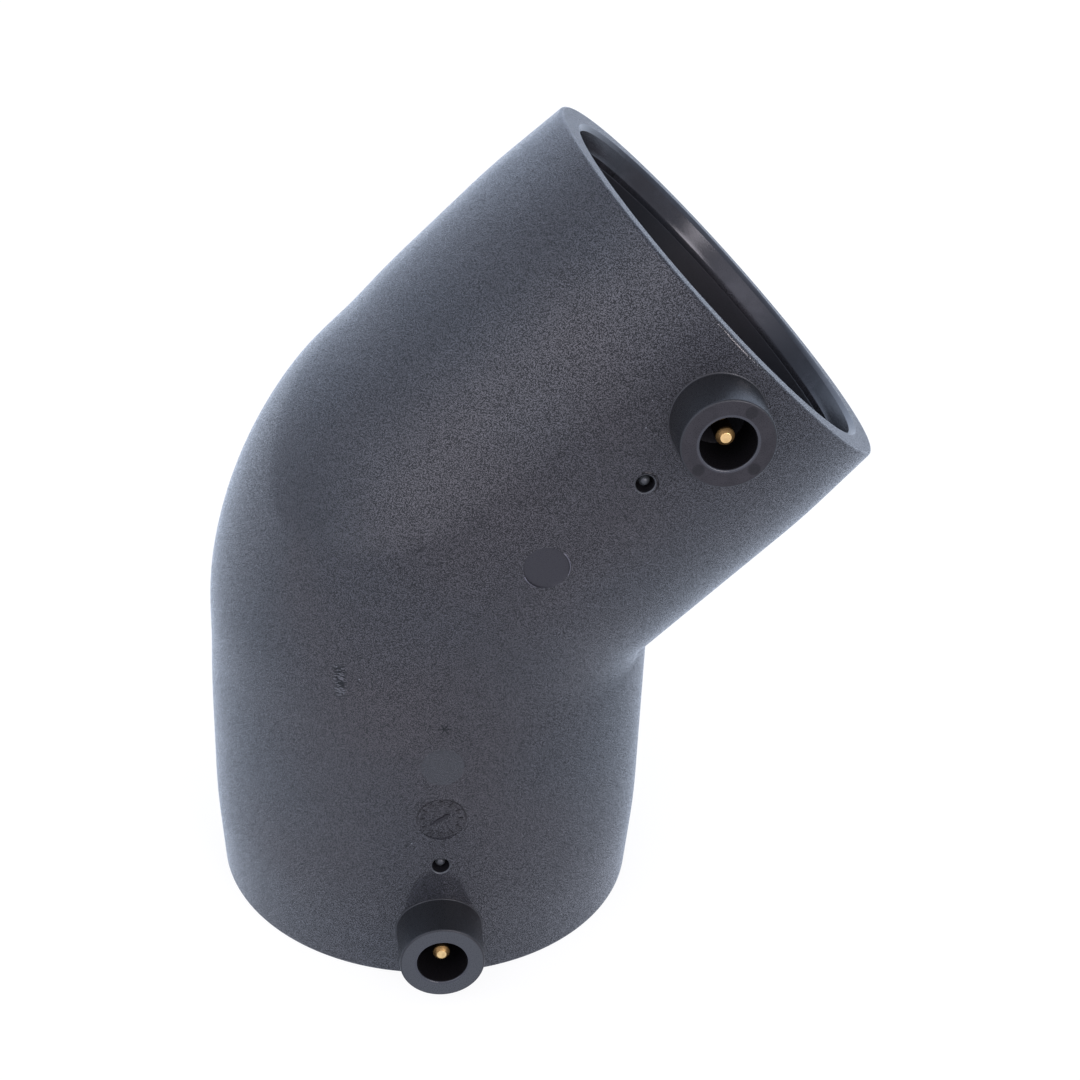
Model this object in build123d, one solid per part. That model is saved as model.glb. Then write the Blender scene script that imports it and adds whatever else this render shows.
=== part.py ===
from build123d import *
import math
import os

# Electrofusion elbow, 45 degrees, for polyethylene pipe.
# One moulded body holds two sockets, a terminal shroud beside each mouth and a fusion
# indicator over each heating coil. One resistance wire runs through the wall from the
# lower brass pin, round the lower socket, over the outside of the bend, round the upper
# socket and out to the upper pin.
# Origin: centre of the lower mouth, on the plane that the elbow stands on.
# +Z runs up the lower socket, the upper socket leans to +X, and the terminals face -Y.

# Bend, in millimetres and degrees
bend_angle = 45.0
valley_radius = 2.0          # rounding of the crease inside the bend
stop_to_bend = 6.6           # pipe stop to the start of the bend

# Body outside
socket_wall = 9.55           # plastic round the fusion bore
mouth_narrowing = 1.5        # the outside narrows by this much towards each mouth
taper_length = 21.5
mouth_edge_break = 0.8       # bevel round the outer edge of each mouth

# Socket, from the mouth inwards
pipe_diameter = 90.0
pipe_clearance = 0.45        # radial gap between the pipe and the fusion bore
socket_depth = 64.0          # mouth to the face that stops the pipe
lead_in_step = 0.45          # small ledge between the lead-in cone and the fusion bore
lead_in_depth = 5.0
lead_in_flare = 0.65         # how much the lead-in cone opens towards the mouth
inner_bevel_width = 1.25     # bevel round the inner edge of each mouth
inner_bevel_depth = 0.9
stop_height = 4.45           # fusion bore down to the waterway behind the pipe stop
stop_edge_chamfer = 1.2

# Heating wire, drawn with a square section that stands for round wire
wire_thickness = 0.9
run_thickness = 1.0          # straight runs, a little thicker to take in the wire's ends
wire_cover = 0.7             # plastic between the fusion bore and the wire
coil_start = 20.0            # first turn, from the mouth
coil_to_stop = 14.0          # last turn to the pipe stop
coil_turns = 4.75            # ends on the outside of the bend

# Terminal shroud and its well
shroud_from_mouth = 14.3
shroud_rise = 10.5           # above the body's outside
shroud_radius = 10.1         # at the rim
shroud_draft = 1.2
shroud_edge_break = 0.4
well_radius = 6.0
well_sink = 2.0              # well's floor below the body's outside
well_edge_break = 0.35

# Brass terminal pin
pin_radius = 2.0
pin_recess = 2.8             # tip below the rim of the shroud
pin_tip_chamfer = 0.65
pin_neck_radius = 1.5        # in the plastic under the well's floor
pin_foot_radius = 2.6        # locks the pin in the plastic and grips the wire
pin_foot_thickness = 2.0

# Fusion indicator: a moulded pip at the bottom of a round well
indicator_from_mouth = 34.8
indicator_well_radius = 2.1
indicator_well_depth = 4.5
indicator_pip_radius = 0.95
indicator_pip_recess = 1.0

# Flats that mould inserts leave on the lower and upper leg
ejector_from_mouth = 63.4
ejector_radius = 5.0
date_dial_from_mouth = 48.5
date_dial_radius = 5.85
insert_margin = 0.05         # how far an insert's rim lies below the curved surface

# Worked out from the sizes above
fusion_radius = pipe_diameter / 2 + pipe_clearance
body_radius = fusion_radius + socket_wall
mouth_radius = body_radius - mouth_narrowing
waterway_radius = fusion_radius - stop_height
half_angle = math.radians(bend_angle / 2)
bend_radius = body_radius + valley_radius
straight_length = socket_depth + stop_to_bend
leg_length = straight_length + bend_radius * math.tan(half_angle)
bend_axis = Axis((bend_radius, 0, straight_length), (0, 1, 0))
mitre_plane = Plane(
    origin=(0, 0, leg_length),
    z_dir=(math.sin(half_angle), 0, math.cos(half_angle)),
)
lead_in_radius = fusion_radius + lead_in_step
lead_in_mouth = lead_in_radius + lead_in_flare
wire_radius = fusion_radius + wire_cover + wire_thickness / 2
coil_end = socket_depth - coil_to_stop
shroud_height = body_radius + shroud_rise
well_floor = body_radius - well_sink
pin_tip = shroud_height - pin_recess


def on_both_legs(shape):
    """Repeats a lower leg's shape on the upper leg."""
    return shape + mirror(shape, about=mitre_plane)


def turned(points):
    """Turns a profile of (radius, height) points about the socket axis."""
    return revolve(Plane.XZ * Polygon(*points, align=None), Axis.Z, 360)


def bend_of(section):
    """Sweeps a flat section round the bend from the end of the lower leg."""
    return revolve(Pos(0, 0, straight_length) * section, bend_axis, bend_angle)


def turned_outwards(from_mouth, points):
    """Turns a profile of (radius, distance from the socket axis) about a line to -Y."""
    across = Plane(origin=(0, 0, from_mouth), x_dir=(1, 0, 0), z_dir=(0, -1, 0))
    return across * turned(points)


def outside():
    """The two legs and the bend, solid through."""
    leg = turned([
        (0, 0),
        (mouth_radius - mouth_edge_break, 0),
        (mouth_radius, mouth_edge_break),
        (body_radius, taper_length),
        (body_radius, straight_length),
        (0, straight_length),
    ])
    return on_both_legs(leg) + bend_of(Circle(body_radius))


def socket_hollow():
    """Everything open inside one leg, from the bevel at its mouth to the bend."""
    return turned([
        (0, 0),
        (lead_in_mouth + inner_bevel_width, 0),
        (lead_in_mouth, inner_bevel_depth),
        (lead_in_radius, lead_in_depth),
        (fusion_radius, lead_in_depth),
        (fusion_radius, socket_depth),
        (waterway_radius + stop_edge_chamfer, socket_depth),
        (waterway_radius, socket_depth + stop_edge_chamfer),
        (waterway_radius, straight_length),
        (0, straight_length),
    ])


def shroud():
    """The terminal's tapered collar, rooted in the socket's wall."""
    root = (well_floor + fusion_radius) / 2
    edge = shroud_height - shroud_edge_break
    spread = (edge - root) * math.tan(math.radians(shroud_draft))
    return turned_outwards(shroud_from_mouth, [
        (0, root),
        (shroud_radius + spread, root),
        (shroud_radius, edge),
        (shroud_radius - shroud_edge_break, shroud_height),
        (0, shroud_height),
    ])


def well():
    """The round well inside a shroud, with its eased rim."""
    return turned_outwards(shroud_from_mouth, [
        (0, well_floor),
        (well_radius, well_floor),
        (well_radius, shroud_height - well_edge_break),
        (well_radius + well_edge_break, shroud_height),
        (0, shroud_height),
    ])


def indicator_hollow():
    """The ring-shaped well round an indicator pip."""
    floor = body_radius - indicator_well_depth
    tip = body_radius - indicator_pip_recess
    return turned_outwards(indicator_from_mouth, [
        (indicator_pip_radius, floor),
        (indicator_well_radius, floor),
        (indicator_well_radius, body_radius),
        (0, body_radius),
        (0, tip),
        (indicator_pip_radius, tip),
    ])


def insert_flat(from_mouth, radius):
    """The flat that a round mould insert leaves on the curved outside."""
    edge_height = math.sqrt(body_radius**2 - radius**2) - insert_margin
    return turned_outwards(from_mouth, [
        (0, edge_height),
        (radius, edge_height),
        (radius, body_radius),
        (0, body_radius),
    ])


def terminal_pin():
    """A turned pin: contact and tip, a neck in the plastic, and a foot at the wire."""
    foot_top = wire_radius + pin_foot_thickness
    return turned_outwards(shroud_from_mouth, [
        (0, wire_radius),
        (pin_foot_radius, wire_radius),
        (pin_foot_radius, foot_top),
        (pin_neck_radius, foot_top),
        (pin_neck_radius, well_floor),
        (pin_radius, well_floor),
        (pin_radius, pin_tip - pin_tip_chamfer),
        (pin_radius - pin_tip_chamfer, pin_tip),
        (0, pin_tip),
    ])


def wire_section():
    """The wire's square section, on the socket's XZ plane at the coil's radius."""
    return Rectangle(wire_thickness, wire_thickness)


def coil():
    """One socket's winding, from below the pin to the outside of the bend."""
    rise = coil_end - coil_start
    path = Helix(pitch=rise / coil_turns, height=rise, radius=wire_radius)
    section = Plane(origin=path @ 0, x_dir=(1, 0, 0), z_dir=path % 0) * wire_section()
    winding = sweep(section, path=path, is_frenet=True)
    return Pos(0, 0, coil_start) * Rot(0, 0, -90) * winding


def wire_run(x, y, bottom, top):
    """A straight run of wire along the socket, long enough to cross its neighbours."""
    lap = run_thickness / 2
    run = Box(
        run_thickness,
        run_thickness,
        top - bottom + 2 * lap,
        align=(Align.CENTER, Align.CENTER, Align.MIN),
    )
    return Pos(x, y, bottom - lap) * run


def heating_wire():
    """The whole wire, from pin to pin."""
    lead = wire_run(0, -wire_radius, shroud_from_mouth, coil_start)
    riser = wire_run(-wire_radius, 0, coil_end, straight_length)
    over_bend = bend_of(Pos(-wire_radius, 0) * wire_section())
    return on_both_legs(coil() + lead + riser) + over_bend


def elbow_body(wire, pins):
    """The moulded body, hollowed and fitted round the pins and the wire."""
    body = outside() + on_both_legs(shroud())
    body -= on_both_legs(socket_hollow())
    body -= bend_of(Circle(waterway_radius))
    body -= on_both_legs(well())
    body -= on_both_legs(indicator_hollow())
    body -= on_both_legs(insert_flat(ejector_from_mouth, ejector_radius))
    body -= insert_flat(date_dial_from_mouth, date_dial_radius)
    for piece in pins:
        body -= piece
    return body - wire


wire = heating_wire()
lower_pin = terminal_pin() - wire
upper_pin = mirror(lower_pin, about=mitre_plane)
nodes = {
    "elbow_body": elbow_body(wire, [lower_pin, upper_pin]),
    "heating_wire": wire,
    "lower_terminal_pin": lower_pin,
    "upper_terminal_pin": upper_pin,
}

os.makedirs("parts", exist_ok=True)
for name, shape in nodes.items():
    export_step(shape, f"parts/{name}.step")
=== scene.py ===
import math

import bmesh
import bpy
from mathutils import Matrix, Vector


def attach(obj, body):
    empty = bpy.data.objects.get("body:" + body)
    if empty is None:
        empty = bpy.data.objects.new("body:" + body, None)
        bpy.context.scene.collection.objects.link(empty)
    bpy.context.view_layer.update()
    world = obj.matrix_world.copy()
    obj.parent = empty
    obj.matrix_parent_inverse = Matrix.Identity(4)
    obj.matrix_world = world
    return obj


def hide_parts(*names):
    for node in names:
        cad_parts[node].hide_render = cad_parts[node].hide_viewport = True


bl_info = {
    "name": "Electrofusion Elbow",
    "version": (1, 0, 0),
    "blender": (4, 5, 0),
    "location": "3D View > Sidebar > Elbow",
    "description": "Builds a 45 degree electrofusion elbow with its terminals and heating wire",
    "category": "Add Mesh",
}

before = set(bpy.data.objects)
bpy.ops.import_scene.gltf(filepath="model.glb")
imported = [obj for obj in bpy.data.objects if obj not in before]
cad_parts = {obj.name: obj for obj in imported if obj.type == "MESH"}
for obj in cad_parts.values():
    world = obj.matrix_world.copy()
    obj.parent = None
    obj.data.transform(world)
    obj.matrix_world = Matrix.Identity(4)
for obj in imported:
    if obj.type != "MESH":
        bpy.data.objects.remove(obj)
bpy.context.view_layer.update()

MM = 0.001

# Fixed shape of the elbow, in metres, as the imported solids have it
BEND_ANGLE = math.radians(45)
BEND_RADIUS = 57.0 * MM
BODY_RADIUS = 55.0 * MM
MOUTH_RADIUS = 53.5 * MM
TAPER_LENGTH = 21.5 * MM
SOCKET_DEPTH = 64.0 * MM
STRAIGHT_LENGTH = 70.6 * MM
LEG_LENGTH = STRAIGHT_LENGTH + BEND_RADIUS * math.tan(BEND_ANGLE / 2)
FUSION_RADIUS = 45.45 * MM
WATERWAY_RADIUS = 41.0 * MM
LEAD_IN_RADIUS = FUSION_RADIUS + 0.45 * MM
LEAD_IN_FLARE = 0.65 * MM
LEAD_IN_END = 6.5 * MM
BEVEL_WIDTH = 1.9 * MM
BEVEL_DEPTH = 0.9 * MM

SHROUD_RADIUS = 10.1 * MM
SHROUD_FOOT = 10.32 * MM
SHROUD_HEIGHT = 65.5 * MM
WELL_RADIUS = 6.0 * MM
WELL_FLOOR = 53.0 * MM
WELL_CORNER = 0.3 * MM
INDICATOR_RADIUS = 2.1 * MM
INDICATOR_DEPTH = 4.5 * MM
PIP_RADIUS = 1.25 * MM
PIP_DOME = 1.3 * MM
PIP_RECESS = 1.0 * MM
EJECTOR_RADIUS = 5.0 * MM
DIAL_RADIUS = 5.85 * MM
INSERT_MARGIN = 0.05 * MM

PIN_RADIUS = 2.0 * MM
PIN_NECK_RADIUS = 1.5 * MM
PIN_FOOT_RADIUS = 2.6 * MM
PIN_FOOT_TOP = 48.6 * MM
PIN_RECESS = 2.8 * MM
PIN_BEVEL = 0.85 * MM
COIL_RADIUS = 46.6 * MM
COIL_START = 20.0 * MM
COIL_END = 50.0 * MM

# Distances from the mouth
SHROUD_FROM_MOUTH = 14.3 * MM
INDICATOR_FROM_MOUTH = 34.8 * MM
DIAL_FROM_MOUTH = 48.5 * MM
EJECTOR_FROM_MOUTH = 63.4 * MM

# Windows cut in a leg's skin, one round each feature: low edge, high edge, half its columns
SHROUD_WINDOW = (1.7 * MM, 26.9 * MM, 11)
INDICATOR_WINDOW = (31.2 * MM, 38.4 * MM, 3)
DIAL_WINDOW = (41.3 * MM, 55.7 * MM, 7)
EJECTOR_WINDOW = (57.2 * MM, 69.6 * MM, 5)
COLUMNS = 288
COLUMN_ANGLE = 2 * math.pi / COLUMNS
BEND_STEPS = 36
PIN_SIDES = 64

# Finishes of the moulding, in the order of its material slots
# The socket, lead-in and well finishes are dark for painted shade inside the bores, indicator
# wells, shroud wells and waterway; the flash finish is light for a painted glint.
GRAINED, SMOOTH, SOCKET, FAINT, LAND, PALE, END, WORN, RUBBED, FLASH_GLINT, WELL_SHADE, RIM = range(12)
# A pin's slots: its tip, and its side, whose darker brass paints the shade down the well.
BRIGHT, SHADED_SIDE = range(2)

WHITE = (1, 1, 1)
FLOOR_FRONT_TINT = (0.96, 0.93, 1.06)
FLOOR_BACK_TINT = (0.82, 0.94, 1.15)
WORLD_FRONT_TINT = (0.94, 0.93, 1.06)
WORLD_BACK_TINT = (0.80, 0.92, 1.16)
DUST_COLOUR = (0.42, 0.45, 0.5)


# Geometry helpers

def mitre_mirror():
    """The mirror that carries the lower leg onto the upper leg."""
    half = BEND_ANGLE / 2
    normal = Vector((math.sin(half), 0, math.cos(half)))
    point = Vector((0, 0, LEG_LENGTH))
    return Matrix.Translation(point) @ Matrix.Scale(-1, 4, normal) @ Matrix.Translation(-point)


def arc(centre, radius, start, end, steps):
    """Points of an arc in (across, along), angles in degrees."""
    angles = [math.radians(start + (end - start) * i / steps) for i in range(steps + 1)]
    return [(centre[0] + radius * math.cos(a), centre[1] + radius * math.sin(a)) for a in angles]


def spread(start, end, steps):
    """Even steps from start to end, both included."""
    return [start + (end - start) * i / steps for i in range(steps + 1)]


def row_at(rows, along):
    """Index of the row at a distance from the mouth."""
    return min(range(len(rows)), key=lambda i: abs(rows[i] - along))


def outer_radius(from_mouth):
    """The outside of a leg, which eases into the narrowing towards its mouth."""
    share = from_mouth / TAPER_LENGTH
    if share > 1.3:
        share = 1.0
    elif share > 0.7:
        share -= (share - 0.7) ** 2 / 1.2
    return MOUTH_RADIUS + (BODY_RADIUS - MOUTH_RADIUS) * share


def skin_height(x, from_mouth):
    """Distance of the outside from the socket axis plane, towards -Y."""
    return math.sqrt(outer_radius(from_mouth) ** 2 - x * x)


def flat_height(radius):
    """Height of the flat that a round insert leaves, just below the skin at its rim."""
    return math.sqrt(BODY_RADIUS ** 2 - radius ** 2) - INSERT_MARGIN


def circle(radius, along):
    """Points of a ring about the socket axis."""
    return [(radius * math.sin(j * COLUMN_ANGLE), -radius * math.cos(j * COLUMN_ANGLE), along)
            for j in range(COLUMNS)]


def mesh_of(bm, name):
    """The plain mesh of a bmesh, which is freed."""
    mesh = bpy.data.meshes.new(name)
    bm.to_mesh(mesh)
    bm.free()
    return mesh


def add_object(name, data):
    made = bpy.data.objects.new(name, data)
    bpy.context.collection.objects.link(made)
    return made


class Shell:
    """Collects the faces of one closed shell, whose new points carry moves into place."""

    def __init__(self, carry=Matrix()):
        self.bm = bmesh.new()
        self.carry = carry

    def vert(self, point):
        return self.bm.verts.new(self.carry @ Vector(point))

    def ring(self, points):
        return [self.vert(point) for point in points]

    def bridge(self, first, second, finish, skip=()):
        """Faces between two rings; finish is one slot or a list with a slot for each face."""
        count = len(first)
        for j in range(count):
            if j in skip:
                continue
            k = (j + 1) % count
            face = self.bm.faces.new((first[j], first[k], second[k], second[j]))
            face.material_index = finish[j] if isinstance(finish, list) else finish

    def bands(self, ring, steps):
        """Goes on from a ring through steps of (points, finish), and returns the last ring."""
        for points, finish in steps:
            previous, ring = ring, self.ring(points)
            self.bridge(previous, ring, finish)
        return ring

    def cap(self, ring, centre, finish):
        tip = self.vert(centre)
        for j in range(len(ring)):
            k = (j + 1) % len(ring)
            self.bm.faces.new((ring[j], ring[k], tip)).material_index = finish

    def mesh(self, name, crease):
        """The welded mesh, smooth but for edges sharper than crease, in degrees."""
        spare = [v for v in self.bm.verts if not v.link_faces]
        bmesh.ops.delete(self.bm, geom=spare, context="VERTS")
        bmesh.ops.remove_doubles(self.bm, verts=self.bm.verts, dist=1e-6)
        bmesh.ops.recalc_face_normals(self.bm, faces=self.bm.faces)
        mesh = mesh_of(self.bm, name)
        mesh.shade_smooth()
        mesh.set_sharp_from_angle(angle=math.radians(crease))
        return mesh


# Turned features on a leg's front line, as rings of (radius, height, lift) outside in, and
# the height of their middle. A ring with a height of None lies on the leg's own skin. Lift
# and finish may be functions of the angle round the feature.

def finished(*parts):
    """Gives the rings of each (rings, finish) the finish of the band that ends at them."""
    return [(*ring, finish) for rings, finish in parts for ring in rings]


def on_skin(radius, size, offsets):
    """Rings on the skin, offset outwards and lifted by shares of a size."""
    return [(radius + out * size, None, up * size) for out, up in offsets]


def level(height, *radii):
    """Flat rings at one height."""
    return [(radius, height, 0) for radius in radii]


def insert_flat(radius, inset):
    """Rings of the flat inside an insert's rim."""
    return level(flat_height(radius), radius - inset, *(radius * s for s in (0.8, 0.5, 0.2)))


def rounded(*turn):
    """Rings along an arc of (radius, height)."""
    return [(radius, height, 0) for radius, height in arc(*turn)]


def shroud_rings(sizes, face):
    """Fillet, tapered wall, rim, face, well and floor of a terminal shroud."""
    edge, lip_edge, root = sizes.shroud_edge, sizes.well_edge, sizes.shroud_root
    fillet = on_skin(SHROUD_FOOT, root, (
        (1.0, 0.0), (0.62, 0.03), (0.33, 0.14), (0.13, 0.36), (0.03, 0.66), (0.0, 1.0)))
    wall = [(SHROUD_RADIUS + 0.16 * MM, 58.0 * MM, 0), (SHROUD_RADIUS + 0.1 * MM, 61.0 * MM, 0),
            (SHROUD_RADIUS + 0.02 * MM, SHROUD_HEIGHT - edge * 1.6, 0)]
    wall += rounded((SHROUD_RADIUS - edge, SHROUD_HEIGHT - edge), edge, 0, 90, 5)
    top = level(SHROUD_HEIGHT, SHROUD_RADIUS - edge - 0.3 * MM, 8.2 * MM,
                WELL_RADIUS + lip_edge + 0.3 * MM)
    lip = rounded((WELL_RADIUS + lip_edge, SHROUD_HEIGHT - lip_edge), lip_edge, 90, 180, 5)
    inside = [(WELL_RADIUS, height, 0) for height in
              (SHROUD_HEIGHT - 1.0 * MM, 57.0 * MM, WELL_FLOOR + 0.5 * MM)]
    inside += rounded((WELL_RADIUS - WELL_CORNER, WELL_FLOOR + WELL_CORNER), WELL_CORNER, 0, -90, 3)
    inside += level(WELL_FLOOR, 4.0 * MM, 2.0 * MM)
    return finished((fillet[:1], GRAINED), (fillet[1:] + wall, SMOOTH), (top, face), (lip, RIM),
                    (inside, WELL_SHADE)), WELL_FLOOR


def crescent(depth):
    """Sink of the tool cut beside the upper indicator, deepest on the side to the mouth."""
    def sink(angle):
        reach = math.cos(angle - math.radians(-86))
        return -depth * min(1.0, max(0.0, (reach - 0.3) / 0.35))
    return sink


def indicator_rings(sizes, cut_beside):
    """Round well with a narrow eased rim, and the domed pip that stands in it."""
    ease = sizes.indicator_edge
    floor, tip = BODY_RADIUS - INDICATOR_DEPTH, BODY_RADIUS - PIP_RECESS
    skin = [(3.15 * MM, None, 0.0)]
    if cut_beside:
        skin += [(radius * MM, None, crescent(depth * MM)) for radius, depth in
                 ((3.02, 0.03), (2.94, 0.28), (2.86, 0.42), (2.62, 0.45), (2.5, 0.4))]
    skin += on_skin(INDICATOR_RADIUS, ease, ((1.2, 0.0), (1.0, 0.04)))
    rim = on_skin(INDICATOR_RADIUS, ease, ((0.85, 0.0), (0.15, -0.7), (0.0, -0.9)))
    inside = [(INDICATOR_RADIUS, 53.6 * MM, 0), (INDICATOR_RADIUS, 52.0 * MM, 0),
              (INDICATOR_RADIUS - 0.02 * MM, floor + 0.15 * MM, 0)]
    inside += level(floor, INDICATOR_RADIUS - 0.2 * MM, PIP_RADIUS + 0.2 * MM)
    inside += [(PIP_RADIUS + 0.03 * MM, floor + 0.2 * MM, 0), (PIP_RADIUS, tip - 1.0 * MM, 0)]
    dome = [ring for ring in rounded((0, tip - PIP_DOME), PIP_DOME, 18, 82, 9)
            if ring[0] < PIP_RADIUS]
    return finished((skin, GRAINED), (rim, PALE), (inside, SOCKET), (dome, PALE)), tip


def flash(height, middle, half_width):
    """A thin raised edge of plastic over part of the way round an insert."""
    def lift(angle):
        off = abs((angle - math.radians(middle) + math.pi) % (2 * math.pi) - math.pi)
        return height * max(0.0, 1.0 - (off / math.radians(half_width)) ** 4)
    return lift


def ejector_rings(edge):
    """The flat that a round ejector leaves, with a narrow edge that is raised in places."""
    raised = (flash(edge, -60, 44), flash(edge, 82, 26))

    def lift(angle):
        return max(part(angle) for part in raised)

    # The raised edge's top takes the light flash finish: a painted glint, with whitening of the
    # stressed plastic.
    def glint(angle):
        return FLASH_GLINT if lift(angle) > 0.6 * edge else GRAINED

    skin, top, flat = [[(EJECTOR_RADIUS + out * MM, None, up) for out, up in part] for part in (
        ((0.5, 0.0), (0.32, 0.0)), ((0.16, lift), (0.08, lift)), ((0.02, 0.0), (0.0, -0.02 * MM)))]
    flat += insert_flat(EJECTOR_RADIUS, 0.08 * MM)
    return finished((skin, GRAINED), (top, glint), (flat, RUBBED)), flat_height(EJECTOR_RADIUS)


def faint_rings():
    """The lower leg's ejector mark, worn flush with the curved skin."""
    sink = 0.03 * MM
    skin = [(5.15 * MM, None, 0.0), (EJECTOR_RADIUS, None, -0.01 * MM)]
    flat = [(radius * MM, None, -sink) for radius in (4.9, 4.0, 2.5, 1.0)]
    return finished((skin, GRAINED), (flat, FAINT)), BODY_RADIUS - sink


def dial_rings():
    """The date insert's flat inside its engraved ring, which is cut deeper on its upper side."""
    floor = flat_height(DIAL_RADIUS)

    def cut(angle):
        return -(0.02 + 0.22 * max(0.0, math.sin(angle) + 0.25)) * MM

    # The dark smooth finish on the groove's upper half is painted shade.
    def painted_groove_shade(angle):
        return SMOOTH if math.sin(angle) > -0.2 else GRAINED

    skin = on_skin(DIAL_RADIUS, MM, ((0.16, 0.0), (0.08, 0.02), (0.0, -0.08)))
    groove = [(DIAL_RADIUS - inset * MM, floor, cut) for inset in (0.06, 0.24)]
    flat = insert_flat(DIAL_RADIUS, 0.36 * MM)
    return finished((skin, GRAINED), (groove, painted_groove_shade), (flat, GRAINED)), floor


def at_angle(value, angle):
    """A value, or what it gives at an angle where it is a function."""
    return value(angle) if callable(value) else value


def add_feature(shell, loop, centre, rings, tip):
    """Joins a window's edge in the skin to a turned feature, ray by ray.

    loop holds (vertex, x, from_mouth) round the window.
    """
    rays = [math.atan2(z - centre, x) for _, x, z in loop]
    first_radius = rings[0][0]
    steps = []
    for share in (0.3, 0.58, 0.82):
        points = []
        for (_, x, z), a in zip(loop, rays):
            px = x + (first_radius * math.cos(a) - x) * share
            pz = z + (centre + first_radius * math.sin(a) - z) * share
            points.append((px, -skin_height(px, pz), pz))
        steps.append((points, GRAINED))
    for radius, height, lift, finish in rings:
        points = []
        for a in rays:
            x, z = radius * math.cos(a), centre + radius * math.sin(a)
            base = skin_height(x, z) if height is None else height
            points.append((x, -base - at_angle(lift, a), z))
        steps.append((points, [at_angle(finish, a) for a in rays]))
    last = shell.bands([vert for vert, _, _ in loop], steps)
    shell.cap(last, (0, -tip, centre), rings[-1][3])


def add_leg_outside(shell, rows, windows):
    """Skin of one leg, with a turned feature in each window of the front line."""
    grid = [shell.ring(circle(outer_radius(z), z)) for z in rows]
    open_cells = {}
    for (low, high, columns), *_ in windows:
        for i in range(row_at(rows, low), row_at(rows, high)):
            open_cells.setdefault(i, set()).update(j % COLUMNS for j in range(-columns, columns))
    for i in range(len(rows) - 1):
        shell.bridge(grid[i], grid[i + 1], GRAINED, open_cells.get(i, ()))
    for (low, high, columns), centre, rings, tip in windows:
        i0, i1 = row_at(rows, low), row_at(rows, high)
        cells = [(i0, j) for j in range(-columns, columns)]
        cells += [(i, columns) for i in range(i0, i1)]
        cells += [(i1, j) for j in range(columns, -columns, -1)]
        cells += [(i, -columns) for i in range(i1, i0, -1)]
        loop = [(grid[i][j % COLUMNS], outer_radius(rows[i]) * math.sin(j * COLUMN_ANGLE), rows[i])
                for i, j in cells]
        add_feature(shell, loop, centre, rings, tip)
    return grid


def socket_profile(sizes):
    """(radius, from mouth) inside a leg, from the mouth to the bend."""
    lead, flare, edge = LEAD_IN_RADIUS, LEAD_IN_FLARE, sizes.mouth_inner_edge
    points = [(lead + BEVEL_WIDTH, 0.0), (lead + BEVEL_WIDTH - edge, edge * 0.3)]
    points += [(lead + flare + edge, BEVEL_DEPTH - edge * 0.5),
               (lead + flare, BEVEL_DEPTH + edge * 0.4)]
    points += [(lead + flare * (1 - share), BEVEL_DEPTH + 4.1 * MM * share)
               for share in (0.3, 0.5, 0.75, 0.97)]
    points += [(lead - inset * MM, along * MM) for inset, along in
               ((0.02, 5.0), (0.24, 5.04), (0.26, 5.2), (0.28, 6.4))]
    points.append((FUSION_RADIUS + 0.02 * MM, 6.55 * MM))
    points += [(FUSION_RADIUS, along) for along in spread(7.5 * MM, 63.6 * MM, 24)]
    points += [(FUSION_RADIUS - 0.1 * MM, 63.9 * MM), (FUSION_RADIUS - 0.4 * MM, SOCKET_DEPTH)]
    points += [(WATERWAY_RADIUS + out * MM, SOCKET_DEPTH + behind * MM) for out, behind in
               ((1.5, 0.0), (1.2, 0.05), (0.1, 1.15), (0.0, 1.4))]
    return points + [(WATERWAY_RADIUS, STRAIGHT_LENGTH)]


def bend_circle(radius, angle):
    """Points of a ring round the waterway at an angle into the bend."""
    return [(BEND_RADIUS - (BEND_RADIUS - x) * math.cos(angle), y,
             STRAIGHT_LENGTH + (BEND_RADIUS - x) * math.sin(angle))
            for x, y, _ in circle(radius, 0)]


def leg_windows(sizes, lower):
    """Windows in a leg's skin, each with its feature's middle, rings and tip."""
    windows = [
        (SHROUD_WINDOW, SHROUD_FROM_MOUTH, *shroud_rings(sizes, PALE if lower else WORN)),
        (INDICATOR_WINDOW, INDICATOR_FROM_MOUTH, *indicator_rings(sizes, not lower))]
    if lower:
        windows.append((DIAL_WINDOW, DIAL_FROM_MOUTH, *dial_rings()))
    ejector = faint_rings() if lower else ejector_rings(0.2 * MM)
    return windows + [(EJECTOR_WINDOW, EJECTOR_FROM_MOUTH, *ejector)]


def leg_rows():
    """Distances from the mouth of the skin's rows; window edges are among them."""
    rows = spread(*SHROUD_WINDOW[:2], 21) + [28.3 * MM, 29.7 * MM]
    rows += spread(*INDICATOR_WINDOW[:2], 6) + [39.8 * MM]
    rows += spread(*DIAL_WINDOW[:2], 12) + spread(*EJECTOR_WINDOW[:2], 10)
    return rows + [STRAIGHT_LENGTH]


def sink_shoulders(shell):
    """Shallow sinks on the outside of the bend, where it meets the legs."""
    sink_width = 11.0 * MM
    for vert in shell.bm.verts:
        out, up = BEND_RADIUS - vert.co.x, vert.co.z - STRAIGHT_LENGTH
        around = min(max(math.atan2(up, out), 0.0), BEND_ANGLE)
        c, s = math.cos(around), math.sin(around)
        centre = Vector((BEND_RADIUS * (1 - c), 0, STRAIGHT_LENGTH + BEND_RADIUS * s))
        outwards, along = Vector((-c, 0, s)), Vector((s, 0, c))
        offset = vert.co - centre
        beyond = offset.dot(along)
        across = offset - along * beyond
        if across.length < BODY_RADIUS - 2.0 * MM:
            continue
        side = max(0.0, across.normalized().dot(outwards))
        for angle, depth in ((BEND_ANGLE, 0.8 * MM), (0.0, 0.5 * MM)):
            away = (BEND_RADIUS + BODY_RADIUS) * abs(around - angle) + abs(beyond)
            sink = depth * side ** 3 * math.exp(-(away / sink_width) ** 2)
            vert.co -= across.normalized() * sink


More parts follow.
